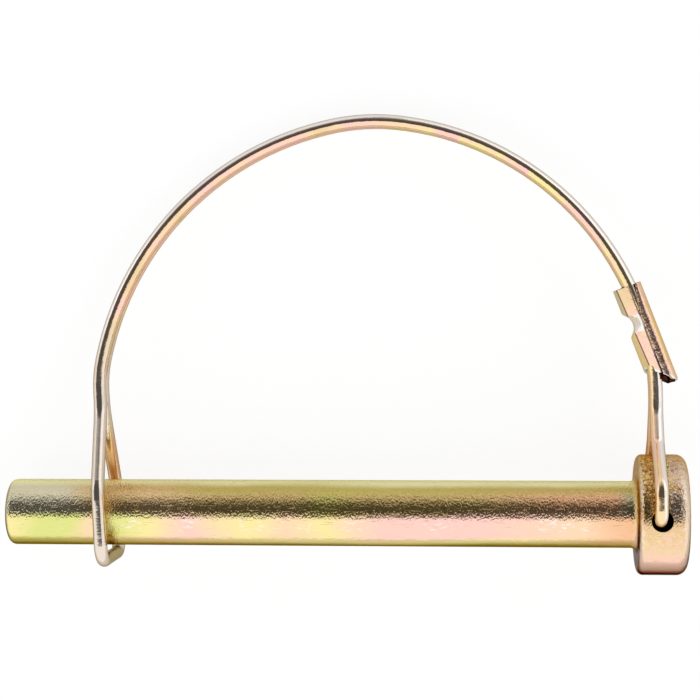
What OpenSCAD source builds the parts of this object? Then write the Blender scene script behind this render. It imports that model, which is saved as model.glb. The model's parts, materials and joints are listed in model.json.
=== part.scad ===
// Headed locking pin with a sprung wire bow: the bow hangs in a cross bore of the head,
// and its loop slips over the tip and round the shank to keep the pin in its hole.
// Millimetres. It lies on its side on the floor, as it comes to rest, with the tip
// towards -X, the head towards +X and the arch of the bow towards +Y.

/* [Shank] */
// Shank diameter
shank_d = 10; // [6:0.5:14]
// Usable length, from the head's shoulder to the near side of the loop
grip = 79; // [60:0.5:110]
// Length of shank from the middle of the loop to the tip
tip_past_loop = 15; // [10:0.5:25]
// Edge radius at the tip
tip_round = 1; // [0.3:0.1:2]

/* [Head] */
// Head diameter
head_d = 18; // [16:0.5:26]
// Head length along the pin
head_len = 7.4; // [6:0.1:14]
// Edge radius on the shoulder side
shoulder_round = 0.9; // [0.2:0.1:1]
// Edge radius at the outer end
head_end_round = 1.6; // [0.2:0.1:2]
// Fillet where the shank meets the shoulder
root_fillet = 0.9; // [0.3:0.1:1.2]
// How much wider the cross bore is than the wire
bore_play = 1.1; // [0.3:0.1:1.6]
// Place of the cross bore along the head, as a share of its length from the shoulder
bore_share = 0.43; // [0.4:0.01:0.6]

/* [Bow wire] */
// Wire diameter
wire_d = 2; // [1.4:0.1:2.6]
// Gap between the two runs of wire along the arch
pair_gap = 0.1; // [0.05:0.05:0.4]
// Gap between each leg and the side of the head
leg_gap = 0.15; // [0.1:0.05:0.6]
// How far towards the tip the wire ends sit in the bore, as a share of the play on that side
end_share = 0.45; // [0:0.05:0.9]
// How deep each wire end reaches into the cross bore
end_depth = 5; // [3:0.5:7]
// Bend radius where each wire end turns out of the bore
end_bend = 1.7; // [1.5:0.1:2.5]
// Slope at which the legs lean in towards each other round the head
leg_slope = 49; // [44:1:54]
// Bend radius where the legs start to lean in
lean_bend = 3; // [2:0.5:4]
// Distance of each leg from the middle after its knee, where the lean eases
knee_out = 3.4; // [3:0.1:4.5]
// Bend radius of the knee
knee_bend = 3; // [2:0.5:4]
// Slope of the legs from the knee up
join_slope = 27; // [20:1:34]
// Bend radius where the legs come together
join_bend = 5; // [3:0.5:8]
// Straight run from there to the foot of the arch
clip_lead = 0.2; // [0.1:0.1:4]

/* [Arch] */
// Turn of the first bend, which the clip sits on
clip_turn = 21; // [16:0.5:26]
// Turn of the side next to the head
near_turn = 60.5; // [50:0.5:66]
// Turn of the crown
crown_turn = 21.5; // [14:0.5:30]
// Turn of the last bend, above the loop
foot_turn = 15; // [8:0.5:20]
// Lean of the loop from square to the pin
loop_lean = 3; // [0:0.5:10]
// Radius of the clip's bend as a share of the near side's
clip_share = 0.86; // [0.7:0.01:1]
// Radius of the crown as a share of the near side's
crown_share = 0.72; // [0.6:0.01:1]
// Radius of the far side as a share of the near side's
far_share = 1.03; // [0.85:0.01:1.1]
// Radius of the last bend as a share of the near side's
foot_share = 0.43; // [0.3:0.01:0.7]

/* [Loop] */
// Gap between the loop and the shank all round
loop_gap = 0.8; // [0.6:0.1:1.5]
// Straight run from the arch to where the two runs part
part_lead = 0.5; // [0.1:0.1:2]
// Bend radius where the two runs part
part_bend = 9; // [6:0.5:11]
// Bend radius where they turn down past the shank
side_bend = 6; // [4:0.5:8]
// Corner radius under the shank
corner_bend = 2.5; // [1.8:0.1:3.5]

/* [Clip] */
// Sheet thickness
sheet = 0.4; // [0.3:0.05:0.8]
// Clip length along the wire
clip_len = 15.9; // [13:0.1:18]
// Part of that length above the end of the clip's bend
clip_above = 3.8; // [2.5:0.1:6]
// Outside width, seen square to the arch
clip_w = 4.3; // [4.1:0.1:5.5]
// Gap between the sheet's edges along the seam
seam = 0.4; // [0.2:0.05:0.8]
// Radius of the crimp that pinches the wires
crimp_r = 1.9; // [1.4:0.1:2.4]
// How far the crimp sits below the end of the clip's bend
crimp_below = 1.8; // [1:0.1:3]
// Length of the side that the slanted lower end leaves
clip_side = 11.8; // [9:0.1:12]
// Angle of the slanted lower end
clip_slant = 43; // [20:1:50]
// Play between the sheet and the wires
clip_play = 0.02; // [0.02:0.01:0.2]
// Room between the wires and the sheet on the outside of the bow
clip_room = 0.3; // [0.1:0.05:0.6]

/* [Hidden] */
$fn = 48;

steel = [0.85, 0.76, 0.5];
spring = [0.86, 0.8, 0.62];
plate = [0.88, 0.74, 0.54];
past = 1;
// The straight part of a leg ends this far short of the head's end edge.
edge_relief = 0.5;
// Shortest straight between two bends of a leg
least_feed = 0.1;
// The clip's seam sits this far from the middle of the wires, towards the bow's inside.
seam_shift = 0.3;
// Points looked at along each bend, and rounds of the search, to find what lies on the floor
bend_steps = 60;
floor_rounds = 8;
// Bends are this much thicker than the straights, which reach into them by the overlap.
bend_swell = 0.01;
joint_lap = 0.05;
arch_lead = 0.3;

wire_r = wire_d / 2;
shank_len = grip + wire_r + tip_past_loop;
bore_d = wire_d + bore_play;
bore_x = head_len * bore_share;
leg_x = bore_x - bore_play / 2 * end_share;
leg_half = head_d / 2 + leg_gap + wire_r;
pair_half = wire_r + pair_gap / 2;
loop_half = shank_d / 2 + loop_gap + wire_r;

// The legs stay beside the head until they clear its end edge on the swing and its side at rest.
leg_hold = max(head_len - bore_x - edge_relief, (leg_half - lean_bend) * tan(leg_slope / 2), end_bend + least_feed);
knee_in = lean_bend * (1 - cos(leg_slope)) + knee_bend * (cos(join_slope) - cos(leg_slope));
lean_run = (leg_half - knee_out - knee_in) / sin(leg_slope);
knee_run = (knee_out - pair_half - join_bend * (1 - cos(join_slope))) / sin(join_slope);
knee_rise = leg_hold + (lean_bend + knee_bend) * sin(leg_slope) + lean_run * cos(leg_slope);
leg_rise = knee_rise + (join_bend - knee_bend) * sin(join_slope) + knee_run * cos(join_slope) + clip_lead;

// The bends of the arch, each a share of one radius, which is the one that brings the loop to the grip.
far_turn = 180 + loop_lean - clip_turn - near_turn - crown_turn - foot_turn;
arch_shares = [clip_share, 1, crown_share, far_share, foot_share];
arch_turns = [clip_turn, near_turn, crown_turn, far_turn, foot_turn];
function heading(i) = i == 0 ? 90 : heading(i - 1) + arch_turns[i - 1];
function arch_reach(i) = i == len(arch_turns) ? [0, 0] :
    arch_shares[i] * [sin(heading(i + 1)) - sin(heading(i)), cos(heading(i)) - cos(heading(i + 1))]
    + arch_reach(i + 1);
reach = arch_reach(0);
function leads(i) = i == len(arch_turns) ? [0, 0] :
    arch_lead * [cos(heading(i)), sin(heading(i))] + leads(i + 1);
lead = leads(1);
loop_x = -grip - wire_r;
arch_r = (loop_x - leg_x - lead[0] - (leg_rise + lead[1]) * tan(loop_lean))
    / (reach[0] + reach[1] * tan(loop_lean));
arch_foot = leg_rise + lead[1] + arch_r * reach[1];

// Below the arch the two runs part in an even S bend, then run straight past the shank.
side_top = shank_d / 4;
side_run = (loop_half + side_top) / cos(loop_lean) - corner_bend;
part_span = (arch_foot - side_top) / cos(loop_lean) - part_lead;
part_width = loop_half - pair_half;
part_bends = part_bend + side_bend;
part_slope = asin(part_bends / norm([part_span, part_bends - part_width]))
    - atan2(part_bends - part_width, part_span);
part_run = (part_span - part_bends * sin(part_slope)) / cos(part_slope);

// Bend table of half the wire, from its end in the bore to the middle of the loop:
// straight length, bend radius, bend angle and the side that it bends towards.
BENDS = [
    [leg_half - end_bend - head_d / 2 + end_depth, end_bend, 90, "along"],
    [leg_hold - end_bend, lean_bend, leg_slope, "in"],
    [lean_run, knee_bend, leg_slope - join_slope, "out"],
    [knee_run, join_bend, join_slope, "out"],
    [clip_lead, arch_r * clip_share, clip_turn, "round"],
    [arch_lead, arch_r, near_turn, "round"],
    [arch_lead, arch_r * crown_share, crown_turn, "round"],
    [arch_lead, arch_r * far_share, far_turn, "round"],
    [arch_lead, arch_r * foot_share, foot_turn, "round"],
    [part_lead, part_bend, part_slope, "out"],
    [part_run, side_bend, part_slope, "in"],
    [side_run, corner_bend, 90, "in"],
];
LEG_BENDS = [0, 1, 2, 3];
ARCH_BENDS = [4, 5, 6, 7, 8];
LOOP_BENDS = [9, 10, 11];
CLIP_AT = 5;

function unit(v) = v / norm(v);
function square_to(v, t) = unit(v - (v * t) * t);
function side_of(t, side) =
    side == "along" ? [0, 1, 0] :
    side == "round" ? cross([0, 0, 1], t) :
    square_to([0, 0, side == "out" ? 1 : -1], t);

// Start of each row of the bend table: its point and its direction.
function ahead(start, row) = let (t = start[1], n = side_of(t, row[3]), a = row[2])
    [start[0] + t * row[0] + row[1] * (n * (1 - cos(a)) + t * sin(a)), t * cos(a) + n * sin(a)];
function starts(i) = i == 0
    ? [[[leg_x, 0, head_d / 2 - end_depth], [0, 0, 1]]]
    : let (before = starts(i - 1)) concat(before, [ahead(before[i - 1], BENDS[i - 1])]);
STARTS = starts(len(BENDS));

// Points along the bends of the lower run, which the part lies on.
function lower(p) = [p[0], p[1], -p[2]];
function bend_points(rows) = [for (i = rows, share = [0:1 / bend_steps:1])
    let (t = STARTS[i][1], n = side_of(t, BENDS[i][3]), r = BENDS[i][1], a = BENDS[i][2] * share)
    lower(STARTS[i][0] + t * BENDS[i][0] + r * (n * (1 - cos(a)) + t * sin(a)))];
leg_points = bend_points(LEG_BENDS);
arch_points = bend_points(ARCH_BENDS);
loop_points = bend_points(LOOP_BENDS);
function lowest(points, up) = let (heights = points * up) points[search(min(heights), heights)[0]];

// The floor touches the lower run at a leg, at the loop and at the arch.
function floor_up(up, rounds) = rounds < 1 ? up :
    let (leg = lowest(leg_points, up), loop = lowest(loop_points, up), arch = lowest(arch_points, up))
    floor_up(unit(cross(loop - leg, leg - arch)), rounds - 1);
up = floor_up([0, 0, 1], floor_rounds);
ahead_x = square_to([1, 0, 0], up);
ahead_y = cross(up, ahead_x);
floor_z = min(leg_points * up) - wire_r - bend_swell / 2;
middle_x = ahead_x * [head_len - shank_len, 0, 0] / 2;
middle_y = (max(arch_points * ahead_y) + wire_r - head_d / 2) / 2;

// Lays the part on the floor, with the middle of its outline over the origin.
module laid() {
    multmatrix([
        [ahead_x[0], ahead_x[1], ahead_x[2], -middle_x],
        [ahead_y[0], ahead_y[1], ahead_y[2], -middle_y],
        [up[0], up[1], up[2], -floor_z],
        [0, 0, 0, 1],
    ]) children();
}

// Stands a shape on a point, with its own X, Y and Z along the three directions given.
module placed(at, x, y, z) {
    multmatrix([
        [x[0], y[0], z[0], at[0]],
        [x[1], y[1], z[1], at[1]],
        [x[2], y[2], z[2], at[2]],
        [0, 0, 0, 1],
    ]) children();
}

// What an edge radius takes off a square corner that points to +X and +Y.
module corner_off(r) {
    difference() {
        translate([-r, -r]) square(r + past);
        translate([-r, -r]) circle(r);
        translate([-r - past, -r - past]) square([past + r, past]);
        translate([-r - past, -r - past]) square([past, past + r]);
    }
}

// Half outline of the pin: distance from the axis across, and height towards the head end up.
module pin_outline() {
    difference() {
        translate([0, -shank_len]) square([shank_d / 2, shank_len + past]);
        translate([shank_d / 2, -shank_len]) mirror([0, 1]) corner_off(tip_round);
    }
    difference() {
        square([head_d / 2, head_len]);
        translate([head_d / 2, head_len]) corner_off(head_end_round);
        translate([head_d / 2, 0]) mirror([0, 1]) corner_off(shoulder_round);
    }
    difference() {
        translate([shank_d / 2 - past, -root_fillet]) square([past + root_fillet, root_fillet + past]);
        translate([shank_d / 2 + root_fillet, -root_fillet]) circle(root_fillet);
    }
}

module pin() {
    color(steel) laid() difference() {
        rotate([0, 90, 0]) rotate_extrude() pin_outline();
        translate([bore_x, 0, 0]) cylinder(d = bore_d, h = head_d + 2 * past, center = true);
    }
}

// One row of the bend table: its straight, then its bend.
module wire_row(i) {
    t = STARTS[i][1];
    n = side_of(t, BENDS[i][3]);
    feed = BENDS[i][0];
    r = BENDS[i][1];
    lap = i == 0 ? 0 : joint_lap;
    placed(STARTS[i][0] - t * lap, n, cross(t, n), t) cylinder(d = wire_d, h = feed + lap + joint_lap);
    placed(STARTS[i][0] + t * feed + n * r, -n, t, cross(t, n))
        rotate_extrude(angle = BENDS[i][2]) translate([r, 0]) circle(d = wire_d + bend_swell);
}

module wire_run() {
    for (i = [0:len(BENDS) - 1]) wire_row(i);
}

module wire_bow() {
    under = STARTS[len(BENDS)][0];
    color(spring) laid() {
        wire_run();
        mirror([0, 0, 1]) wire_run();
        translate([under[0], under[1], 0])
            cylinder(d = wire_d, h = 2 * (under[2] + joint_lap), center = true);
    }
}

// Section across the clip: X away from the bow's inside, Y square to the arch.
module sleeve_section(x0, x1, half, r) {
    translate([x0 + r, -half]) square([x1 - x0 - 2 * r, 2 * half]);
    translate([x0, r - half]) square([x1 - x0, 2 * (half - r)]);
    for (x = [x0 + r, x1 - r], y = [r - half, half - r]) translate([x, y]) circle(r);
}

module clip() {
    t = STARTS[CLIP_AT][1];
    at = [STARTS[CLIP_AT][0][0], STARTS[CLIP_AT][0][1], 0];
    in_right = wire_r + clip_room;
    out_right = in_right + sheet;
    out_left = out_right - clip_w;
    in_half = pair_half + wire_r + clip_play;
    out_half = in_half + sheet;
    low = clip_above - clip_len;
    pinch = wire_r + arch_r * clip_share * (1 - cos(asin(crimp_below / (arch_r * clip_share)))) + clip_play;
    slant_drop = tan(clip_slant);
    color(plate) laid() placed(at, cross(t, [0, 0, 1]), t, [0, 0, 1]) difference() {
        union() {
            translate([0, low, 0]) rotate([-90, 0, 0]) linear_extrude(clip_len) difference() {
                sleeve_section(out_left, out_right, out_half, wire_r + sheet);
                sleeve_section(out_left + sheet, in_right, in_half, wire_r);
            }
            intersection() {
                translate([0, low, 0]) rotate([-90, 0, 0]) linear_extrude(clip_len)
                    sleeve_section(out_left, out_right, out_half, wire_r + sheet);
                translate([-pinch - sheet - crimp_r, -crimp_below, 0])
                    cylinder(r = crimp_r + sheet, h = 3 * out_half, center = true);
            }
        }
        translate([-pinch - sheet - crimp_r, -crimp_below, 0])
            cylinder(r = crimp_r, h = 4 * out_half, center = true);
        translate([-seam_shift - seam / 2, low - past, in_half - wire_r]) cube([seam, clip_len + 2 * past, 2 * wire_r]);
        translate([0, 0, -in_half]) linear_extrude(3 * out_half) polygon([
            [out_left - past, clip_above - clip_side + past * slant_drop],
            [out_right + past, clip_above - clip_side - (clip_w + past) * slant_drop],
            [out_right + past, low - clip_len],
            [out_left - past, low - clip_len],
        ]);
    }
}

pin();
wire_bow();
clip();
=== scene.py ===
import json
import math

import bmesh
import bpy
from mathutils import Matrix, Vector, noise


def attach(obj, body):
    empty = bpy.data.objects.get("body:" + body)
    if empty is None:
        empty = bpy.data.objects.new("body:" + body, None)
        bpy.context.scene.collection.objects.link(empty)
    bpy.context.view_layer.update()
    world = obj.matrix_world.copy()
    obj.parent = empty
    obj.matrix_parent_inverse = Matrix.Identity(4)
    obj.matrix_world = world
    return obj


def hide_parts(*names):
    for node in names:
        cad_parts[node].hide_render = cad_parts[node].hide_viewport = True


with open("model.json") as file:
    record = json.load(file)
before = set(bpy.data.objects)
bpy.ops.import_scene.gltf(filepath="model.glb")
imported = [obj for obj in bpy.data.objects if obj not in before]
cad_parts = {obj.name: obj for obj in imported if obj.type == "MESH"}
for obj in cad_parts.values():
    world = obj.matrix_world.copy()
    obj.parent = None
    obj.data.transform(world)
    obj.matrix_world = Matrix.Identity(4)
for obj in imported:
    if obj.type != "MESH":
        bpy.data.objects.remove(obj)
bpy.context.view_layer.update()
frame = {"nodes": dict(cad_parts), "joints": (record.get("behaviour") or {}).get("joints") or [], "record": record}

MM = 0.001

# The pin's own axes: along it to the head, across it to the arch, and out of the arch's plane
SWING = frame["joints"][0]
SHANK = next(m for m in frame["record"]["mounts"] if m["name"] == "shank")
BORE = Vector(SWING["pos_m"])
ALONG = -Vector(SHANK["axis"]).normalized()
OUT = -Vector(SWING["axis"]).normalized()
ACROSS = OUT.cross(ALONG)
PIN_TURN = Matrix((ALONG, ACROSS, OUT)).transposed()

# Sizes that the looks are laid out by: places along the pin, counted from the bore's middle, and radii
SHOULDER_AT = -3.18
TIP_AT = -98.18
LOOP_AT = -83.18
SHANK_R = SHANK["dims"]["r_mm"]
BORE_R = 1.55
HEAD_R = 9.0


def pin_point(along, across, out):
    """A point of the model, given in millimetres in the pin's own axes from the middle of the bore."""
    return BORE + MM * (along * ALONG + across * ACROSS + out * OUT)


def paint(red, green, blue):
    """A linear colour from the 0 to 255 values that it shows on a screen."""
    def linear(v):
        v = v / 255
        return v / 12.92 if v <= 0.04045 else ((v + 0.055) / 1.055) ** 2.4
    return linear(red), linear(green), linear(blue), 1.0


# Node building

# Places of the colour mix node's sockets
MIX_SHARE, MIX_FIRST, MIX_SECOND, MIX_RESULT = 0, 6, 7, 2
NOISE_MIDDLE = 0.5
PLAIN_DETAIL = 1.0
RICH_DETAIL = 3.0


class Nodes:
    """Adds nodes to a tree: a value given for an input is set on it, and a socket is linked to it."""

    def __init__(self, tree):
        self.tree = tree
        tree.nodes.clear()

    def add(self, kind, inputs=None, **fields):
        node = self.tree.nodes.new(kind)
        for name, value in fields.items():
            setattr(node, name, value)
        for key, value in (inputs or {}).items():
            if isinstance(value, bpy.types.NodeSocket):
                self.tree.links.new(value, node.inputs[key])
            else:
                node.inputs[key].default_value = value
        return node

    def math(self, operation, a, b=0.0, c=0.0, clamp=False):
        node = self.add("ShaderNodeMath", {0: a, 1: b, 2: c}, operation=operation, use_clamp=clamp)
        return node.outputs[0]

    def length(self, a, b):
        return self.math("SQRT", self.math("ADD", self.math("MULTIPLY", a, a), self.math("MULTIPLY", b, b)))

    def product(self, *values):
        total = values[0]
        for value in values[1:]:
            total = self.math("MULTIPLY", total, value)
        return total

    def moved(self, value, by, amount):
        """The value, moved by an amount of another one."""
        return self.math("ADD", value, self.math("MULTIPLY", by, amount))

    def smooth(self, value, start, end, low=0.0, high=1.0):
        """Goes smoothly from low to high as the value goes from start to end."""
        node = self.add("ShaderNodeMapRange", {"Value": value, "From Min": start, "From Max": end,
                                               "To Min": low, "To Max": high},
                        interpolation_type="SMOOTHSTEP")
        return node.outputs[0]

    def fade(self, place, start, end):
        """Goes smoothly from 0 to 1 as a place goes from start to end, in millimetres."""
        return self.smooth(place, start * MM, end * MM)

    def mix(self, share, first, second):
        node = self.add("ShaderNodeMix", {MIX_SHARE: share, MIX_FIRST: first, MIX_SECOND: second},
                        data_type="RGBA")
        return node.outputs[MIX_RESULT]

    def noise(self, vector, spot, detail=2.0, rough=0.5):
        """Noise whose spots are about this size, in millimetres."""
        node = self.add("ShaderNodeTexNoise", {"Vector": vector, "Scale": 1 / (spot * MM), "Detail": detail,
                                               "Roughness": rough})
        return node.outputs[0]

    def stretched(self, vector, along):
        """The same coordinates with the first axis drawn out, so that patterns run along it."""
        node = self.add("ShaderNodeVectorMath", {0: vector, 1: (1 / along, 1.0, 1.0)}, operation="MULTIPLY")
        return node.outputs[0]

    def ramp(self, value, stops):
        node = self.add("ShaderNodeValToRGB", {0: value})
        elements = node.color_ramp.elements
        while len(elements) < len(stops):
            elements.new(0.5)
        for element, (place, colour) in zip(elements, stops):
            element.position = place
            element.color = colour
        return node.outputs[0]

    def turned_coordinates(self, origin, turn):
        """Object coordinates from another origin and along other axes."""
        place = self.add("ShaderNodeTexCoord").outputs["Object"]
        node = self.add("ShaderNodeMapping", {"Vector": place, "Location": origin, "Rotation": turn.to_euler()},
                        vector_type="TEXTURE")
        return node.outputs[0]

    def split(self, vector):
        return self.add("ShaderNodeSeparateXYZ", {0: vector}).outputs

    def bump(self, height, depth, before=None):
        """The normal of a surface that rises by this depth, in millimetres, where the height is 1."""
        inputs = {"Height": height, "Strength": 1.0, "Distance": depth * MM}
        if before is not None:
            inputs["Normal"] = before
        return self.add("ShaderNodeBump", inputs).outputs[0]

    def plating(self, colour, rough, normal, edge, metal=1.0):
        """Passivated zinc: a bright metal, of another colour where seen at a slant. Below full metal, it is dull.
        """
        shader = self.add("ShaderNodeBsdfPrincipled", {
            "Base Color": colour, "Metallic": metal, "IOR": 1.0, "Roughness": rough, "Normal": normal,
            "Specular Tint": edge,
        })
        self.surface(shader.outputs[0])

    def surface(self, shader):
        self.add("ShaderNodeOutputMaterial", {"Surface": shader})


def new_material(name):
    material = bpy.data.materials.new(name)
    material.use_nodes = True
    return material, Nodes(material.node_tree)


# Colours of the plating, and those of its edges where it is seen at a slant, with colours for painted highlights
# and painted shade

YELLOW_GREEN = paint(222, 224, 138)
YELLOW = paint(246, 230, 160)
CREAM = paint(226, 216, 184)
PEACH = paint(252, 214, 178)
PINK = paint(252, 205, 192)
ORANGE = paint(240, 188, 146)
OLIVE = paint(204, 192, 108)
LOW_RIM_SHADE = paint(176, 162, 94)
GOLD = paint(220, 184, 122)
ROSE_GOLD = paint(226, 176, 132)
PALE_GOLD = paint(232, 198, 146)
BRONZE = paint(208, 180, 118)
BROWN = paint(206, 164, 106)
DARK_BROWN = paint(150, 110, 62)
RIM_HIGHLIGHT = paint(240, 224, 206)
HEAD_SILVER = paint(232, 206, 190)
GREY_GREEN = paint(186, 184, 150)
SILVER = paint(226, 219, 206)
DEEP_SHADE = paint(5, 4, 3)
CREASE_SHADE = paint(96, 52, 34)
TAN = paint(236, 206, 164)
GOLD_SHEET = paint(240, 206, 140)
TIP_GREY = paint(120, 114, 104)
# White for painted highlights and glints
HIGHLIGHT_WHITE = paint(250, 244, 240)
FOLD_SIDE = paint(255, 226, 168)
# Painted highlight at the arch's rim and edge tint, painted shade in the tint at the low edges
ARCH_HIGHLIGHT = paint(255, 250, 200)
LOW_EDGE_SHADE = paint(150, 128, 84)
HEAD_LOW_EDGE_SHADE = paint(96, 60, 46)
WIRE_EDGE = paint(180, 170, 130)
SHEET_EDGE = paint(228, 214, 170)

# Where a smooth noise counts as low and as high, for the patches of a duller finish
DULL_CUT = (0.3, 0.7)


# Shank: zones from the tip to the shoulder, on its middle, on the side of the arch and just above its low edge

SHANK_ZONES = [
    (0.00, YELLOW), (0.05, YELLOW_GREEN), (0.10, YELLOW_GREEN), (0.125, PEACH), (0.16, YELLOW_GREEN),
    (0.22, YELLOW), (0.30, PINK), (0.39, YELLOW), (0.46, PEACH), (0.54, YELLOW), (0.61, PINK), (0.75, PINK),
    (0.90, PEACH), (0.98, ORANGE),
]
ARCH_SIDE_ZONES = [
    (0.00, CREAM), (0.09, CREAM), (0.15, GOLD), (0.24, PALE_GOLD), (0.36, BRONZE), (0.47, BRONZE),
    (0.53, OLIVE), (0.6, BRONZE), (0.74, BRONZE), (0.86, ROSE_GOLD), (0.95, ROSE_GOLD), (0.985, GREY_GREEN),
]
LOW_STRIP_ZONES = [(0.05, OLIVE), (0.25, PALE_GOLD), (0.45, YELLOW), (0.8, YELLOW), (0.95, GOLD)]

# Strips along the shank: where each fades in, in radii from the middle towards the arch
ARCH_SIDE_FROM = (-0.06, 0.2)
OLIVE_STRIP_FROM = (0.58, 0.74)
# The pale rim on the arch's side is a painted highlight, and the darker low rim is painted shade
ARCH_RIM_FROM = (0.8, 0.97)
LOW_STRIP_FROM = (-0.62, -0.8)
LOW_RIM_FROM = (-0.78, -0.96)

# The olive strip also fades in from the tip, in shares of the shank's length, and lets some colour through
OLIVE_STRIP_ALONG = (0.16, 0.36)
OLIVE_STRIP_SHARE = 0.75

# The zones' borders wander with a slow noise: its spots, how far they are drawn out, and how far it moves them
DRIFT_SPOT = 9
DRIFT_DRAWN = 2.0
DRIFT_ALONG = 0.14
DRIFT_ROUND = 0.3
DRIFT_HEAD = 0.12

# Painted glints: pale flecks in patches, below the middle
FLECK_SPOT = 0.4
FLECK_DRAWN = 2.6
FLECK_CUT = (0.52, 0.66)
GLINT_PATCH_SPOT = 6
GLINT_PATCH_CUT = (0.5, 0.62)
GLINT_TOP = (-0.02, -0.14)
GLINT_LOW = (-0.66, -0.3)
GLINT_SHARE = 0.7


def shank_colour(n, place, along, across, drift):
    """Colour zones along the shank, with strips along its sides, a painted highlight along the arch's rim, painted
    shade along the low rim, and painted glints as pale flecks.
    """
    from_tip = n.math("SUBTRACT", along, TIP_AT * MM)
    share = n.moved(n.math("DIVIDE", from_tip, (SHOULDER_AT - TIP_AT) * MM), drift, DRIFT_ALONG)
    side = n.moved(n.math("DIVIDE", across, SHANK_R * MM), drift, DRIFT_ROUND)
    arch_side = n.smooth(side, *ARCH_SIDE_FROM)
    colour = n.mix(arch_side, n.ramp(share, SHANK_ZONES), n.ramp(share, ARCH_SIDE_ZONES))
    olive_strip = n.product(n.smooth(side, *OLIVE_STRIP_FROM), n.smooth(share, *OLIVE_STRIP_ALONG),
                            OLIVE_STRIP_SHARE)
    colour = n.mix(olive_strip, colour, OLIVE)
    # Painted highlight: a pale rim along the arch's side
    colour = n.mix(n.smooth(side, *ARCH_RIM_FROM), colour, ARCH_HIGHLIGHT)
    colour = n.mix(n.smooth(side, *LOW_STRIP_FROM), colour, n.ramp(share, LOW_STRIP_ZONES))
    # Painted shade: a darker olive rim along the low edge
    colour = n.mix(n.smooth(side, *LOW_RIM_FROM), colour, LOW_RIM_SHADE)
    # Painted glints: pale flecks in patches below the middle
    fleck = n.smooth(n.noise(n.stretched(place, FLECK_DRAWN), FLECK_SPOT, RICH_DETAIL), *FLECK_CUT)
    glint_patches = n.smooth(n.noise(place, GLINT_PATCH_SPOT), *GLINT_PATCH_CUT)
    glints = n.product(fleck, glint_patches, n.smooth(side, *GLINT_TOP), n.smooth(side, *GLINT_LOW), GLINT_SHARE)
    return n.mix(glints, colour, HIGHLIGHT_WHITE)


# Head: colours below its middle, in radii from its lowest edge up, darkest at that edge as painted shade, and a
# mottle over them

HEAD_LOW_ZONES = [
    (0.00, paint(92, 58, 46)), (0.05, paint(150, 110, 90)), (0.14, paint(222, 182, 158)),
    (0.32, paint(248, 206, 184)), (0.50, paint(238, 208, 168)), (0.75, paint(234, 204, 156)),
    (0.95, paint(228, 194, 144)),
]
LOW_MOTTLE = [(0.4, YELLOW), (0.5, ROSE_GOLD), (0.6, PINK)]
LOW_MOTTLE_FROM = (-0.62, -0.3)
LOW_MOTTLE_SHARE = 0.35
MOTTLE_SPOT = 1.3
MOTTLE_DETAIL = 4.0
MOTTLE_ROUGH = 0.65

# Speckle on the arch's side of its round wall, silvered in patches towards the end
HEAD_TOP_FROM = (-0.1, 0.14)
SPECKLE = [(0.36, DARK_BROWN), (0.46, BROWN), (0.56, GOLD), (0.66, YELLOW)]
SPECKLE_SPOT = 0.4
SPECKLE_RADIUS = (8.2, 8.6)
SILVER_ALONG = (0.8, 1.6)
SILVER_CUT = (0.36, 0.5)
SILVER_SHARE = 0.7

# Painted highlights: pale rims, ragged, at the end and at the shoulder
RAGGED_REACH = 1.6
END_RIM_FROM = (3.0, 3.5)
SHOULDER_RIM_FROM = (SHOULDER_AT + 0.6, SHOULDER_AT + 0.3)
SHOULDER_RIM_RADIUS = (7.6, 8.3)
RIM_ROUND = (-0.9, -0.7)
RIM_SHARE = 0.6


def head_colour(n, place, along, across, drift, from_axis):
    """The head: speckled gold on the arch's side, smooth pink on the other, with painted highlights as pale ragged
    rims and painted shade at its lowest edge.
    """
    mottle = n.noise(place, MOTTLE_SPOT, MOTTLE_DETAIL, MOTTLE_ROUGH)
    side = n.moved(n.math("DIVIDE", across, HEAD_R * MM), drift, DRIFT_HEAD)
    top = n.mix(n.fade(from_axis, *SPECKLE_RADIUS), GOLD, n.ramp(n.noise(place, SPECKLE_SPOT), SPECKLE))
    silvered = n.product(n.fade(along, *SILVER_ALONG), n.smooth(mottle, *SILVER_CUT), SILVER_SHARE)
    top = n.mix(silvered, top, HEAD_SILVER)
    low = n.ramp(n.math("ADD", side, 1.0), HEAD_LOW_ZONES)
    mottled = n.smooth(side, *LOW_MOTTLE_FROM, 0.0, LOW_MOTTLE_SHARE)
    low = n.mix(mottled, low, n.ramp(mottle, LOW_MOTTLE))
    colour = n.mix(n.smooth(side, *HEAD_TOP_FROM), low, top)
    # Painted highlights: pale ragged rims at the end and at the shoulder
    ragged_along = n.moved(along, n.math("SUBTRACT", mottle, NOISE_MIDDLE), RAGGED_REACH * MM)
    shoulder_rim = n.product(n.fade(ragged_along, *SHOULDER_RIM_FROM), n.fade(from_axis, *SHOULDER_RIM_RADIUS))
    rim_highlights = n.math("MAXIMUM", n.fade(ragged_along, *END_RIM_FROM), shoulder_rim)
    return n.mix(n.product(rim_highlights, n.smooth(side, *RIM_ROUND), RIM_SHARE), colour, RIM_HIGHLIGHT)


# Grain of the pin: its depth away from the arch and on the arch's side, lumps, and scratches along the pin

GRAIN_LOW = 0.03
GRAIN_ARCH = 0.105
GRAIN_ROUND = (-0.2, 0.12)
GRAIN_SPOT = 0.36
GRAIN_DRAWN = 0.6
GRAIN_UNIT = 1.0
LUMP_SPOT = 0.9
LUMP_DEPTH = 0.04
SCRATCH_SPOT = 0.16
SCRATCH_DRAWN = 14.0
SCRATCH_CUT = (0.64, 0.72)
SCRATCH_DEPTH = 0.01


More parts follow.
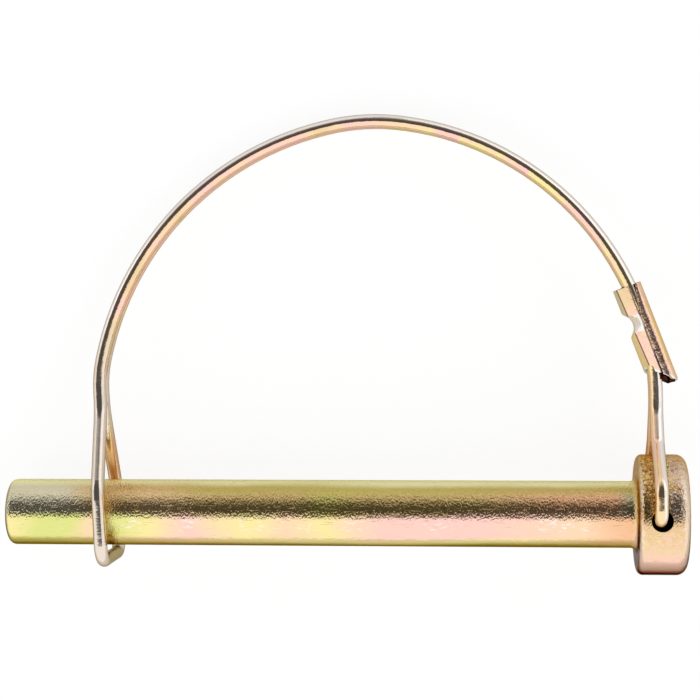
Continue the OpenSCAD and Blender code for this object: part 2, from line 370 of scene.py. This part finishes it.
def pin_grain(n, place, round_side):
    """A grain that is coarse on the arch's side, soft lumps and fine scratches."""
    depth = n.smooth(round_side, *GRAIN_ROUND, GRAIN_LOW, GRAIN_ARCH)
    grain = n.noise(n.stretched(place, GRAIN_DRAWN), GRAIN_SPOT, PLAIN_DETAIL)
    normal = n.bump(n.product(n.math("SUBTRACT", grain, NOISE_MIDDLE), depth), GRAIN_UNIT)
    normal = n.bump(n.noise(place, LUMP_SPOT), LUMP_DEPTH, normal)
    scratch = n.noise(n.stretched(place, SCRATCH_DRAWN), SCRATCH_SPOT)
    return n.bump(n.smooth(scratch, *SCRATCH_CUT), SCRATCH_DEPTH, normal)


# The whole pin: where the head's colour and its edge colours start, the tip's edge and the painted shade of the
# bore
HEAD_FROM = (SHOULDER_AT - 1.2, SHOULDER_AT)
HEAD_EDGE_FROM = (SHOULDER_AT - 0.6, SHOULDER_AT)
EDGE_ROUND = (-0.4, 0.4)
TIP_EDGE_FROM = (TIP_AT + 0.7, TIP_AT + 0.25)
TIP_EDGE_SHARE = 0.8
BORE_FROM = (BORE_R * 1.06, BORE_R * 1.01)
PIN_DULL_SPOT = 1.6
PIN_ROUGH = (0.1, 0.18)


def plated_pin():
    """Passivated zinc on drawn bar, with painted shade in the bore: near black and not metallic."""
    material, n = new_material("plated_pin")
    place = n.turned_coordinates(BORE, PIN_TURN)
    along, across, out = n.split(place)
    drift = n.noise(n.stretched(place, DRIFT_DRAWN), DRIFT_SPOT, RICH_DETAIL)
    drift = n.math("SUBTRACT", drift, NOISE_MIDDLE)
    from_axis = n.length(out, across)
    body = shank_colour(n, place, along, across, drift)
    head = head_colour(n, place, along, across, drift, from_axis)
    colour = n.mix(n.fade(along, *HEAD_FROM), body, head)
    tip_edge = n.product(n.fade(along, *TIP_EDGE_FROM), TIP_EDGE_SHARE)
    colour = n.mix(tip_edge, colour, TIP_GREY)
    # Painted shade: the inside of the bore is near black and not metallic
    in_bore = n.fade(n.length(along, across), *BORE_FROM)
    colour = n.mix(in_bore, colour, DEEP_SHADE)

    round_side = n.math("DIVIDE", across, from_axis)
    # Painted shade and highlight at a slant: the edge tint is dark on the low side, and pale or gold on the arch's
    # side
    on_head = n.fade(along, *HEAD_EDGE_FROM)
    low_edge_shade = n.mix(on_head, LOW_EDGE_SHADE, HEAD_LOW_EDGE_SHADE)
    arch_edge_highlight = n.mix(on_head, ARCH_HIGHLIGHT, GOLD)
    edge = n.mix(n.smooth(round_side, *EDGE_ROUND), low_edge_shade, arch_edge_highlight)
    rough = n.smooth(n.noise(place, PIN_DULL_SPOT), *DULL_CUT, *PIN_ROUGH)
    n.plating(colour, rough, pin_grain(n, place, round_side), edge, n.math("SUBTRACT", 1.0, in_bore))
    return material


# Wire. The arch from the clip on: where its bends start, each bend's radius and turn, and the straight before each

CLIP_AT = (-2.75, 30.74)
CLIP_LEAN = 21.0
ARCH_BENDS = ((43.85, 60.5), (31.57, 21.5), (45.17, 65.0))
ARCH_LEAD = 0.3

# Patches of colour on the half near the head and on the half near the tip
WIRE_PATCH_SPOT = 7
NEAR_HALF = [(0.36, YELLOW), (0.45, PEACH), (0.52, YELLOW), (0.6, PINK)]
FAR_HALF = [(0.36, TAN), (0.45, PEACH), (0.55, PINK), (0.66, PEACH)]
FAR_HALF_FROM = (-30, -45)

# Painted highlights: white outer flanks of the arch and of the legs
HIGHLIGHT_SHARE = 0.85
ARCH_FLANK_FROM = (0.1, 0.45)
ARCH_FLANK_ACROSS = (20, 28)
LEG_FLANK_FROM = (0.1, 0.4)
LEG_FLANK_ACROSS = (34, 26)

# How far the legs lean towards the tip for each millimetre away from the pin
LEG_LEAN = 0.04

# Peach legs, a silver loop, and orange on the rear run where it parts from the front one
LEGS_ALONG = (-10, -4)
LEGS_ACROSS = (26, 16)
LEGS_SHARE = 0.7
LOOP_ALONG = (LOOP_AT + 8, LOOP_AT + 4)
LOOP_ACROSS = (34, 16)
LOOP_SHARE = 0.8
BEHIND_OUT = (-1.6, -3.0)
BEHIND_ACROSS = (3, 6)
BEHIND_SHARE = 0.8

WIRE_GRAIN_SPOT = 0.25
WIRE_GRAIN_DEPTH = 0.009
WIRE_WAVE_SPOT = 1.5
WIRE_WAVE_DEPTH = 0.03
WIRE_DULL_SPOT = 2.0
WIRE_ROUGH = (0.07, 0.13)


def outside_arch(n, along, across):
    """How far a point lies outside the middle line of the arch's wire."""
    start = Vector(CLIP_AT)
    heading = math.radians(90.0 + CLIP_LEAN)
    outside = 0.0
    for radius, turn in ARCH_BENDS:
        ahead = Vector((math.cos(heading), math.sin(heading)))
        inward = Vector((-math.sin(heading), math.cos(heading)))
        middle = start + ARCH_LEAD * ahead + radius * inward
        from_middle = n.length(n.math("SUBTRACT", along, middle.x * MM),
                               n.math("SUBTRACT", across, middle.y * MM))
        past_start = n.moved(n.math("MULTIPLY", along, ahead.x), across, ahead.y)
        on_bend = n.math("GREATER_THAN", past_start, start.dot(ahead) * MM)
        change = n.math("SUBTRACT", n.math("SUBTRACT", from_middle, radius * MM), outside)
        outside = n.moved(outside, on_bend, change)
        heading += math.radians(turn)
        start = middle + radius * Vector((math.sin(heading), -math.cos(heading)))
    return outside


def plated_wire():
    """Passivated zinc on bright drawn wire, greyer round the loop and warmer at the legs, with painted highlights
    in white along the outer flanks.
    """
    material, n = new_material("plated_wire")
    place = n.turned_coordinates(BORE, PIN_TURN)
    along, across, out = n.split(place)
    patches = n.noise(place, WIRE_PATCH_SPOT, RICH_DETAIL)
    colour = n.mix(n.fade(along, *FAR_HALF_FROM), n.ramp(patches, NEAR_HALF), n.ramp(patches, FAR_HALF))
    on_arch = n.fade(across, *ARCH_FLANK_ACROSS)
    # Painted highlight: white along the outer flank of the arch
    arch_flank_highlight = n.product(n.fade(outside_arch(n, along, across), *ARCH_FLANK_FROM), on_arch, HIGHLIGHT_SHARE)
    colour = n.mix(arch_flank_highlight, colour, HIGHLIGHT_WHITE)
    legs = n.product(n.fade(along, *LEGS_ALONG), n.fade(across, *LEGS_ACROSS), LEGS_SHARE)
    colour = n.mix(legs, colour, PEACH)
    leg_side = n.moved(along, across, LEG_LEAN)
    # Painted highlight: white along the outer flank of each leg
    leg_flank_highlight = n.product(n.fade(leg_side, *LEG_FLANK_FROM), n.fade(across, *LEG_FLANK_ACROSS), HIGHLIGHT_SHARE)
    colour = n.mix(leg_flank_highlight, colour, HIGHLIGHT_WHITE)
    loop = n.product(n.fade(along, *LOOP_ALONG), n.fade(across, *LOOP_ACROSS), LOOP_SHARE)
    colour = n.mix(loop, colour, SILVER)
    behind = n.product(n.fade(out, *BEHIND_OUT), n.fade(across, *BEHIND_ACROSS), BEHIND_SHARE)
    colour = n.mix(behind, colour, ORANGE)
    normal = n.bump(n.noise(place, WIRE_GRAIN_SPOT), WIRE_GRAIN_DEPTH)
    normal = n.bump(n.noise(place, WIRE_WAVE_SPOT), WIRE_WAVE_DEPTH, normal)
    rough = n.smooth(n.noise(place, WIRE_DULL_SPOT), *DULL_CUT, *WIRE_ROUGH)
    n.plating(colour, rough, normal, WIRE_EDGE)
    return material


# Clip: a sheet rolled round the two wires, laid out from the end of the bend that it sits on

# Its own axes: away from the inside of the bow, up along the wires, and out of the arch's plane
CLIP_UP = math.cos(math.radians(CLIP_LEAN)) * ACROSS - math.sin(math.radians(CLIP_LEAN)) * ALONG
CLIP_AWAY = CLIP_UP.cross(OUT)
CLIP_TURN = Matrix((CLIP_AWAY, CLIP_UP, OUT)).transposed()
CLIP_ORIGIN = pin_point(CLIP_AT[0], CLIP_AT[1], 0.0)
SHEET = 0.4
CLIP_TOP = 3.8
CLIP_LOW = -12.1
CLIP_ROWS = 48

# The low end is cut at a slant, from its inner side, and again at its outer corner. Its rear reaches lower.
LEFT_END = -8.0
END_SLANT = math.radians(43.0)
CORNER_LOW = -11.5
CORNER_AWAY = 1.0
CORNER_SLANT = math.radians(25.0)
REAR_DROP = 0.22
CUT_REACH = 0.01
MERGE_REACH = 0.02
EDGE_ROUNDING = 0.06

# The crimp pressed into the inner side: a circle
CRIMP_R = 1.9
CRIMP_UP = -1.8
CRIMP_AWAY = -3.36

# The lips at the seam are ragged, and the outer one stands back at the top
LIP_ROUGH = 0.09
LIP_PITCH = 1.7
LIP_OPENING = 0.85
OPEN_FROM = -0.8
OPEN_SHARES = (0.3, 0.7, 1.0)

# The inner half of the front is a flat flap, from the lip at the seam down to a fold that drifts along the clip.
LIP_AWAY = -0.5
LIP_OUT = 2.45
FLAP_SLOPE = 30.0
PINCH_SLOPE = 22.0
PINCH_REACH = 1.2
FOLD_TOP = -2.15
FOLD_LOW = -1.5
FOLD_DRIFT = (FOLD_TOP - FOLD_LOW) / (CLIP_TOP - CLIP_LOW)
FLAP_SHARES = (0.0, 0.3, 0.65, 0.95, 1.0)
SIDE_SHARES = (0.06, 0.5)

# The rest of the sheet, from the inner side round the back to the lip on the outer side of the seam: away, out
CLIP_SECTION = [
    (-2.58, 0.3), (-2.6, -0.6), (-2.5, -1.5), (-2.15, -2.15), (-1.5, -2.44), (-0.8, -2.47), (0.4, -2.47),
    (1.1, -2.2), (1.55, -1.5), (1.7, -0.5), (1.7, 0.5), (1.62, 1.2), (1.42, 1.72), (1.1, 2.16), (0.72, 2.41),
    (0.28, 2.47), (-0.2, 2.44),
]
INNER_SIDE = CLIP_SECTION[0][0]


def clip_point(up, away, out):
    return CLIP_ORIGIN + MM * (up * CLIP_UP + away * CLIP_AWAY + out * OUT)


def fold_away(up):
    return FOLD_LOW + FOLD_DRIFT * (up - CLIP_LOW)


def clip_row(up):
    """The sheet's section at one height, lip to lip: the flap, the inner side below its fold, then the rest."""
    reach = LIP_AWAY - fold_away(up)
    pinch = PINCH_SLOPE * math.exp(-((up - CRIMP_UP) / PINCH_REACH) ** 2)
    drop = reach * math.tan(math.radians(FLAP_SLOPE + pinch))
    flap = [(LIP_AWAY - share * reach, LIP_OUT - share * drop) for share in FLAP_SHARES]
    fold, side = Vector(flap[-1]), Vector(CLIP_SECTION[0])
    return flap + [tuple(fold.lerp(side, share)) for share in SIDE_SHARES] + CLIP_SECTION


# Finishes of the clip: patches, tan at the flap's top, gold on the outer side, the fold's side, and painted shade
# along its crease
SHEET_PATCH_SPOT = 2.0
SHEET_PATCHES = [(0.38, PEACH), (0.5, PINK), (0.62, PEACH)]
FLAP_FROM = (-0.3, -0.6)
FLAP_TOP_UP = (-1.0, 2.0)
GOLD_AWAY = (0.7, 1.3)
GOLD_TOP = (2.5, 0.0)
GOLD_LOW = (-11, -8)
GOLD_SHARE = 0.8
FOLD_SIDE_FROM = (0.0, -0.2)
FOLD_SIDE_UP = (-1.5, 0.0)
# Painted shade: a dark line along the crease of the fold
CREASE_REACH = (0.12, 0.04)
CREASE_OUT = (0.6, 1.0)
CREASE_SHADE_SHARE = 0.85

# Painted highlights: white where it is crimped, with a ragged border, and along the cut end
CRIMP_REACH = (2.0, 1.5)
CRIMP_RAGGED_SPOT = 0.8
CRIMP_RAGGED = 1.0
LIT_END = (-0.4, -0.2)
LIT_END_OUT = (0.0, 1.0)

SHEET_GRAIN_SPOT = 0.25
SHEET_GRAIN_DEPTH = 0.03
DENT_SPOT = 0.9
DENT_DEPTH = 0.07
SHEET_DULL_SPOT = 1.2
SHEET_ROUGH = (0.12, 0.22)
SHEARED_SPOT = 0.2
SHEARED_DEPTH = 0.06
SHEARED_ROUGH = 0.35
# Painted shade on the sheet's inner face: near black and dark reddish brown patches
INSIDE_SHADE_PATCHES = [(0.4, DEEP_SHADE), (0.6, CREASE_SHADE)]
INSIDE_PATCH_SPOT = 0.8
INSIDE_ROUGH = 0.3


def plated_sheet():
    """Passivated zinc on rolled sheet: pink and peach, yellow on its sides, with painted highlights in white where
    it is crimped and along the cut end, and painted shade along the fold's crease.
    """
    material, n = new_material("plated_sheet")
    place = n.turned_coordinates(CLIP_ORIGIN, CLIP_TURN)
    away, up, out = n.split(place)
    colour = n.ramp(n.noise(place, SHEET_PATCH_SPOT, RICH_DETAIL), SHEET_PATCHES)
    on_flap = n.fade(away, *FLAP_FROM)
    colour = n.mix(n.product(n.fade(up, *FLAP_TOP_UP), on_flap), colour, TAN)
    gold_side = n.product(n.fade(away, *GOLD_AWAY), n.fade(up, *GOLD_TOP), n.fade(up, *GOLD_LOW), GOLD_SHARE)
    colour = n.mix(gold_side, colour, GOLD_SHEET)

    fold = n.math("MULTIPLY_ADD", up, FOLD_DRIFT, fold_away(0.0) * MM)
    past_fold = n.math("SUBTRACT", away, fold)
    side = n.mix(n.fade(up, *FOLD_SIDE_UP), FOLD_SIDE, CREAM)
    colour = n.mix(n.fade(past_fold, *FOLD_SIDE_FROM), colour, side)
    # Painted shade: a dark line along the crease of the fold
    at_fold = n.fade(n.math("ABSOLUTE", past_fold), *CREASE_REACH)
    colour = n.mix(n.product(at_fold, n.fade(out, *CREASE_OUT), CREASE_SHADE_SHARE), colour, CREASE_SHADE)

    # Painted highlight: white where the sheet is crimped, with a ragged border
    from_crimp = n.math("ABSOLUTE", n.math("SUBTRACT", up, CRIMP_UP * MM))
    ragged = n.math("MULTIPLY_ADD", n.noise(place, CRIMP_RAGGED_SPOT), CRIMP_RAGGED * MM, from_crimp)
    colour = n.mix(n.product(n.fade(ragged, *CRIMP_REACH), on_flap), colour, HIGHLIGHT_WHITE)

    # Painted highlight: white along the cut end
    past_end = n.moved(n.math("MULTIPLY", up, -math.cos(END_SLANT)), away, -math.sin(END_SLANT))
    past_end = n.moved(past_end, out, REAR_DROP)
    cut = -math.cos(END_SLANT) * LEFT_END - math.sin(END_SLANT) * INNER_SIDE + REAR_DROP * LIP_OUT
    lit_end = n.fade(past_end, cut + LIT_END[0], cut + LIT_END[1])
    colour = n.mix(n.product(lit_end, n.fade(out, *LIT_END_OUT)), colour, HIGHLIGHT_WHITE)

    normal = n.bump(n.noise(place, SHEET_GRAIN_SPOT, RICH_DETAIL), SHEET_GRAIN_DEPTH)
    normal = n.bump(n.noise(place, DENT_SPOT), DENT_DEPTH, normal)
    rough = n.smooth(n.noise(place, SHEET_DULL_SPOT), *DULL_CUT, *SHEET_ROUGH)
    n.plating(colour, rough, normal, SHEET_EDGE)
    return material


def sheared_edge():
    """The sheet's cut edges: rougher, and painted white as a highlight."""
    material, n = new_material("sheared_edge")
    place = n.turned_coordinates(CLIP_ORIGIN, CLIP_TURN)
    normal = n.bump(n.noise(place, SHEARED_SPOT), SHEARED_DEPTH)
    # Painted highlight: the cut edges are white
    n.plating(HIGHLIGHT_WHITE, SHEARED_ROUGH, normal, SHEET_EDGE)
    return material


def sheet_inside():
    """The inner face of the sheet: dull, with painted shade in near black and dark reddish brown patches."""
    material, n = new_material("sheet_inside")
    place = n.turned_coordinates(CLIP_ORIGIN, CLIP_TURN)
    colour = n.ramp(n.noise(place, INSIDE_PATCH_SPOT), INSIDE_SHADE_PATCHES)
    normal = n.bump(n.noise(place, SHEET_GRAIN_SPOT), SHEET_GRAIN_DEPTH)
    n.plating(colour, INSIDE_ROUGH, normal, CREASE_SHADE)
    return material


def draw_out(shape):
    """Draws the section at the low end out along the wires. Each corner keeps its place in the section."""
    place = shape.verts.layers.int.new("place")
    corners = [shape.verts.new(clip_point(CLIP_LOW, away, out)) for away, out in clip_row(CLIP_LOW)]
    for number, corner in enumerate(corners):
        corner[place] = number
    edges = [shape.edges.new(pair) for pair in zip(corners, corners[1:])]
    step = MM * (CLIP_TOP - CLIP_LOW) / CLIP_ROWS
    bmesh.ops.spin(shape, geom=corners + edges, cent=CLIP_ORIGIN, axis=OUT, dvec=step * CLIP_UP, angle=0.0,
                   steps=CLIP_ROWS)
    return place, len(corners) - 1


def press(shape, place, last):
    """Gives each row its own section, leaves the lips ragged, opens the slot and presses the crimp in."""
    for corner in shape.verts:
        up = (corner.co - CLIP_ORIGIN).dot(CLIP_UP) / MM
        away, out = clip_row(up)[corner[place]]
        if corner[place] in (0, last):
            away += LIP_ROUGH * noise.noise(Vector((up * LIP_PITCH, corner[place], 0.0)))
        if corner[place] > last - len(OPEN_SHARES):
            share = OPEN_SHARES[corner[place] - last - 1]
            away += share * LIP_OPENING * max(0.0, (up - OPEN_FROM) / (CLIP_TOP - OPEN_FROM))
        inside = CRIMP_R ** 2 - (up - CRIMP_UP) ** 2
        if inside > 0:
            away = max(away, CRIMP_AWAY + math.sqrt(inside))
        corner.co = clip_point(up, away, out)


def cut_off(shape, point, way):
    """Cuts off what lies beyond a point, the way that the cut faces."""
    bmesh.ops.bisect_plane(shape, geom=shape.verts[:] + shape.edges[:] + shape.faces[:], dist=CUT_REACH * MM,
                           plane_co=point, plane_no=way.normalized(), clear_outer=True)


def rolled_clip():
    """The sheet is drawn out along the wires, pressed into its shape, cut at a slant and given its thickness."""
    shape = bmesh.new()
    place, last = draw_out(shape)
    press(shape, place, last)
    end_way = -math.cos(END_SLANT) * CLIP_UP - math.sin(END_SLANT) * CLIP_AWAY + REAR_DROP * OUT
    cut_off(shape, clip_point(LEFT_END, INNER_SIDE, LIP_OUT), end_way)
    corner_way = -math.cos(CORNER_SLANT) * CLIP_UP + math.sin(CORNER_SLANT) * CLIP_AWAY + REAR_DROP * OUT
    cut_off(shape, clip_point(CORNER_LOW, CORNER_AWAY, LIP_OUT), corner_way)
    bmesh.ops.remove_doubles(shape, verts=shape.verts, dist=MERGE_REACH * MM)
    rightmost = max(shape.faces, key=lambda face: face.calc_center_median().dot(CLIP_AWAY))
    if rightmost.normal.dot(CLIP_AWAY) < 0:
        bmesh.ops.reverse_faces(shape, faces=shape.faces[:])
    for face in shape.faces:
        face.smooth = True
    mesh = bpy.data.meshes.new("rolled_clip")
    shape.to_mesh(mesh)
    shape.free()
    for finish in (plated_sheet(), sheared_edge(), sheet_inside()):
        mesh.materials.append(finish)
    clip = bpy.data.objects.new("rolled_clip", mesh)
    bpy.context.scene.collection.objects.link(clip)
    rounding = clip.modifiers.new("rounding", "SUBSURF")
    rounding.levels = 1
    rounding.render_levels = 1
    # The rim takes the second finish, and the inner face the third
    wall = clip.modifiers.new("wall", "SOLIDIFY")
    wall.thickness = SHEET * MM
    wall.offset = -1.0
    wall.material_offset_rim = 1
    wall.material_offset = 2
    corners = clip.modifiers.new("corners", "BEVEL")
    corners.width = EDGE_ROUNDING * MM
    corners.segments = 2
    corners.limit_method = "ANGLE"
    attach(clip, "bow")
    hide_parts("clip")


def dress(node, material):
    """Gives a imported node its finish."""
    slots = frame["nodes"][node].data.materials
    slots.clear()
    slots.append(material)


# Floor

WHITE = (1.0, 1.0, 1.0, 1.0)
FLOOR_PAINT = (0.9, 0.9, 0.9, 1.0)
FLOOR_HALF = 3.0
FLOOR_GLOW = 1.1
GLOW_SEEN = 0.8
GLOW_IN_GLOSS = 0.3


def white_floor():
    """White floor with a faint shadow: the camera sees it mostly at full white, a gloss sees more of its shade."""
    mesh = bpy.data.meshes.new("floor")
    grid = bmesh.new()
    bmesh.ops.create_grid(grid, x_segments=1, y_segments=1, size=FLOOR_HALF)
    grid.to_mesh(mesh)
    grid.free()
    floor = bpy.data.objects.new("floor", mesh)
    bpy.context.scene.collection.objects.link(floor)
    material, n = new_material("white_floor")
    rays = n.add("ShaderNodeLightPath").outputs
    shown = n.moved(n.math("MULTIPLY", rays["Is Camera Ray"], GLOW_SEEN), rays["Is Glossy Ray"], GLOW_IN_GLOSS)
    shown = n.math("ADD", shown, rays["Is Transmission Ray"], clamp=True)
    matt = n.add("ShaderNodeBsdfDiffuse", {"Color": FLOOR_PAINT}).outputs[0]
    glow = n.add("ShaderNodeEmission", {"Color": WHITE, "Strength": FLOOR_GLOW}).outputs[0]
    n.surface(n.add("ShaderNodeMixShader", {0: shown, 1: matt, 2: glow}).outputs[0])
    mesh.materials.append(material)


# Room, by degrees from straight up: tilted towards the arch, and aside towards the head

# A dim gap overhead
GAP_FRONT = (-3.0, 1.0)
GAP_REAR = (84.0, 40.0)
GAP_TIP_SIDE = (-68.0, -52.0)
GAP_HEAD_SIDE = (44.0, 33.0)

# It runs on down the far side, between two bearings
REAR_GAP_FRONT = (20.0, 40.0)
REAR_GAP_REAR = (96.0, 42.0)
REAR_GAP_TIP = (-62.0, -46.0)
REAR_GAP_HEAD = (9.0, 0.0)
REAR_GAP_SHARE = 0.85

# Bright strips on both sides of that
STRIP_FRONT = (30.0, 50.0)
STRIP_REAR = (95.0, 75.0)
STRIP_ASIDE = (8.0, 24.0)

# Light from the room, which dims towards the arch
DIMMING = (-20.0, 70.0)
FRONT_LIGHT = 1.1
REAR_LIGHT = 0.72
GAP_LIGHT = 0.09
STRIP_LIGHT = 0.45


def studio_room():
    """A white room, dimmer towards the arch, with a dim gap above and down its far side, and bright strips."""
    world = bpy.data.worlds.new("studio")
    bpy.context.scene.world = world
    world.use_nodes = True
    n = Nodes(world.node_tree)
    x, y, z = n.split(n.add("ShaderNodeTexCoord").outputs["Generated"])
    tilt = n.math("DEGREES", n.math("ARCTAN2", y, z))
    aside = n.math("DEGREES", n.math("ARCTAN2", x, z))
    bearing = n.math("DEGREES", n.math("ARCTAN2", x, y))
    gap = n.product(n.smooth(tilt, *GAP_FRONT), n.smooth(tilt, *GAP_REAR),
                    n.smooth(aside, *GAP_TIP_SIDE), n.smooth(aside, *GAP_HEAD_SIDE))
    rear_gap = n.product(n.smooth(tilt, *REAR_GAP_FRONT), n.smooth(tilt, *REAR_GAP_REAR),
                         n.smooth(bearing, *REAR_GAP_TIP), n.smooth(bearing, *REAR_GAP_HEAD), REAR_GAP_SHARE)
    gap = n.math("MAXIMUM", gap, rear_gap)
    strip = n.product(n.smooth(tilt, *STRIP_FRONT), n.smooth(tilt, *STRIP_REAR),
                      n.smooth(n.math("ABSOLUTE", aside), *STRIP_ASIDE))
    bright = n.moved(n.smooth(tilt, *DIMMING, FRONT_LIGHT, REAR_LIGHT), strip, STRIP_LIGHT)
    level = n.moved(n.math("MULTIPLY", bright, n.math("SUBTRACT", 1.0, gap)), gap, GAP_LIGHT)
    seen = n.add("ShaderNodeLightPath").outputs["Is Camera Ray"]
    level = n.math("MAXIMUM", level, seen)
    light = n.add("ShaderNodeBackground", {"Color": WHITE, "Strength": level})
    n.add("ShaderNodeOutputWorld", {"Surface": light.outputs[0]})


# Camera: its place and what it looks at, in the pin's own axes, its roll and its lens

CAMERA_PLACE = (-25.0, 30.9, 275.5)
CAMERA_AIM = (-46.0, 24.7, 0.0)
CAMERA_ROLL = math.radians(-0.2)
LENS = 94.0


def photo_camera():
    """Looks down on the pin from the photograph's angle."""
    data = bpy.data.cameras.new("camera")
    data.lens = LENS
    camera = bpy.data.objects.new("camera", data)
    place = pin_point(*CAMERA_PLACE)
    back = (place - pin_point(*CAMERA_AIM)).normalized()
    right = ACROSS.cross(back).normalized()
    level = Matrix((right, back.cross(right), back)).transposed()
    turn = level @ Matrix.Rotation(CAMERA_ROLL, 3, "Z")
    camera.matrix_world = Matrix.Translation(place) @ turn.to_4x4()
    bpy.context.scene.collection.objects.link(camera)
    bpy.context.scene.camera = camera


dress("pin", plated_pin())
dress("wire_bow", plated_wire())
rolled_clip()
dress("clip", bpy.data.materials["plated_sheet"])
white_floor()
studio_room()
photo_camera()
bpy.context.scene.view_settings.view_transform = "Standard"
